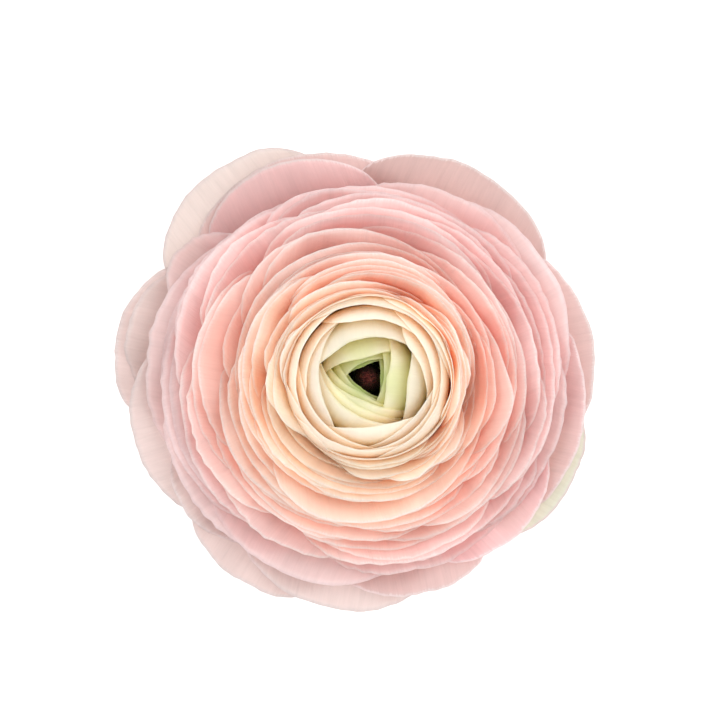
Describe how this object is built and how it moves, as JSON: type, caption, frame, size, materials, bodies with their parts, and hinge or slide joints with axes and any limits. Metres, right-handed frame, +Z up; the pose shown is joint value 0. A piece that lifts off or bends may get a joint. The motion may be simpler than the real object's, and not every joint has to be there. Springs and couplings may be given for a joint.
{
  "type": "ranunculus flower",
  "caption": "Cut double ranunculus bloom lying face up, with layered petals round a dark centre, bent sepals and a short stem stub.",
  "frame": {"origin": "middle of the stem's cut end, on the surface that the bloom rests on and on the bloom's axis", "axes": "+Z up along the bloom's axis and out of its face; +X is the right and +Y the top of the face in the picture"},
  "size_m": [0.0963, 0.093, 0.0419],
  "materials": {
    "stem": "smooth fresh green stem",
    "sepal": "matt green with fine hairs",
    "pistil": "dark maroon, slightly glossy",
    "stamen": "dark filaments with dusty anthers",
    "heart_petal": "waxy greenish cream",
    "inner_petal": "satin cream and peach, thin and translucent",
    "outer_petal": "satin pink with paler rims, thin and translucent",
    "guard_petal": "pale blush with fine radial veins, thin and translucent"
  },
  "bodies": {
    "root": {"stem": "stem", "sepals": "sepal", "pistils": "pistil", "stamens": "stamen", "heart_petals": "heart_petal", "inner_petals": "inner_petal", "outer_petals": "outer_petal", "guard_petals": "guard_petal"}
  },
  "joints": []
}
